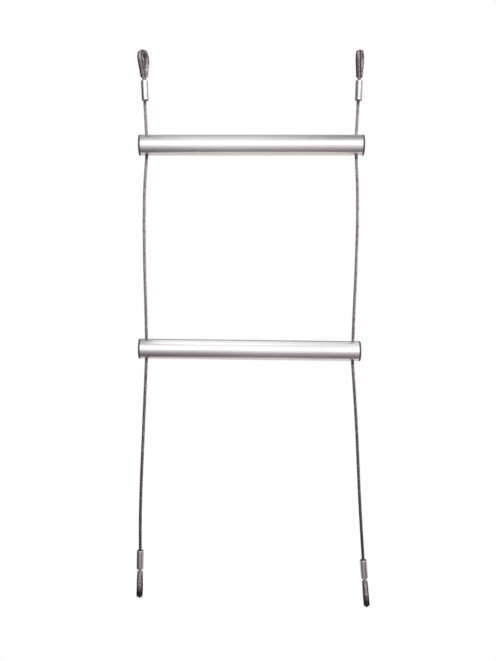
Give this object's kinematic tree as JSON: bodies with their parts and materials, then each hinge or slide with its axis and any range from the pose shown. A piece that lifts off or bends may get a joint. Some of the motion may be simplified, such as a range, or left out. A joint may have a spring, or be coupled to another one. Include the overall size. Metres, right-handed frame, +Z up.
{
  "type": "wire ladder",
  "caption": "Short flexible wire ladder: round tube rungs held on steel wire ropes by sleeves inside them, with pressed ferrules and thimble eyes at the rope ends.",
  "frame": {"origin": "midway between the two upper thimbles, at the height where a shackle bears on them, in the plane of the ropes", "axes": "+Z up along the hanging ladder, +X to the right along the rungs seen from the front, +Y away from the viewer"},
  "size_m": [0.2976, 0.025, 0.6971],
  "materials": {
    "rung_aluminium": "satin drawn tube",
    "ferrule_aluminium": "pressed, dull satin",
    "thimble_zinc": "galvanised steel strip",
    "rope_steel": "stranded steel wire rope",
    "plug_plastic": "moulded dark grey plastic"
  },
  "bodies": {
    "top_eyes": {"upper_left_thimble": "thimble_zinc", "upper_left_ferrule": "ferrule_aluminium", "upper_left_eye_wire": "rope_steel", "upper_right_thimble": "thimble_zinc", "upper_right_ferrule": "ferrule_aluminium", "upper_right_eye_wire": "rope_steel"},
    "upper_wires": {"upper_left_wire": "rope_steel", "upper_right_wire": "rope_steel"},
    "upper_rung": {"upper_rung_tube": "rung_aluminium", "upper_rung_left_plug": "plug_plastic", "upper_rung_left_stop": "ferrule_aluminium", "upper_rung_left_wire": "rope_steel", "upper_rung_right_plug": "plug_plastic", "upper_rung_right_stop": "ferrule_aluminium", "upper_rung_right_wire": "rope_steel"},
    "span_wires": {"left_span_wire": "rope_steel", "right_span_wire": "rope_steel"},
    "lower_rung": {"lower_rung_tube": "rung_aluminium", "lower_rung_left_plug": "plug_plastic", "lower_rung_left_stop": "ferrule_aluminium", "lower_rung_left_wire": "rope_steel", "lower_rung_right_plug": "plug_plastic", "lower_rung_right_stop": "ferrule_aluminium", "lower_rung_right_wire": "rope_steel"},
    "lower_left_wire": {"lower_left_wire": "rope_steel"},
    "lower_right_wire": {"lower_right_wire": "rope_steel"},
    "lower_left_eye": {"lower_left_thimble": "thimble_zinc", "lower_left_ferrule": "ferrule_aluminium", "lower_left_eye_wire": "rope_steel"},
    "lower_right_eye": {"lower_right_thimble": "thimble_zinc", "lower_right_ferrule": "ferrule_aluminium", "lower_right_eye_wire": "rope_steel"}
  },
  "joints": [
    {"name": "upper_wires_swing", "type": "hinge", "parent": "top_eyes", "child": "upper_wires", "pos_m": [0, 0, -0.0582], "axis": [1, 0, 0], "range_deg": [-45, 45], "stiffness_Nm_per_rad": 1.36},
    {"name": "upper_rung_swing", "type": "hinge", "parent": "upper_wires", "child": "upper_rung", "pos_m": [0, 0, -0.0952], "axis": [1, 0, 0], "range_deg": [-45, 45], "stiffness_Nm_per_rad": 1.36},
    {"name": "span_wires_swing", "type": "hinge", "parent": "upper_rung", "child": "span_wires", "pos_m": [0, 0, -0.1248], "axis": [1, 0, 0], "range_deg": [-60, 60], "stiffness_Nm_per_rad": 0.27},
    {"name": "lower_rung_swing", "type": "hinge", "parent": "span_wires", "child": "lower_rung", "pos_m": [-0.00213, 0, -0.3478], "axis": [0.9999, 0, -0.0117], "range_deg": [-60, 60], "stiffness_Nm_per_rad": 0.27},
    {"name": "lower_left_wire_swing", "type": "hinge", "parent": "lower_rung", "child": "lower_left_wire", "pos_m": [-0.13146, 0, -0.37589], "axis": [0.9999, 0, -0.0117], "range_deg": [-90, 90], "stiffness_Nm_per_rad": 0.12},
    {"name": "lower_right_wire_swing", "type": "hinge", "parent": "lower_rung", "child": "lower_right_wire", "pos_m": [0.12652, 0, -0.37891], "axis": [0.9999, 0, -0.0117], "range_deg": [-90, 90], "stiffness_Nm_per_rad": 0.12},
    {"name": "lower_left_eye_swing", "type": "hinge", "parent": "lower_left_wire", "child": "lower_left_eye", "pos_m": [-0.14126, 0, -0.61629], "axis": [0, 1, 0], "range_deg": [-60, 60], "stiffness_Nm_per_rad": 0.12},
    {"name": "lower_right_eye_swing", "type": "hinge", "parent": "lower_right_wire", "child": "lower_right_eye", "pos_m": [0.14212, 0, -0.62861], "axis": [0, 1, 0], "range_deg": [-60, 60], "stiffness_Nm_per_rad": 0.12}
  ]
}
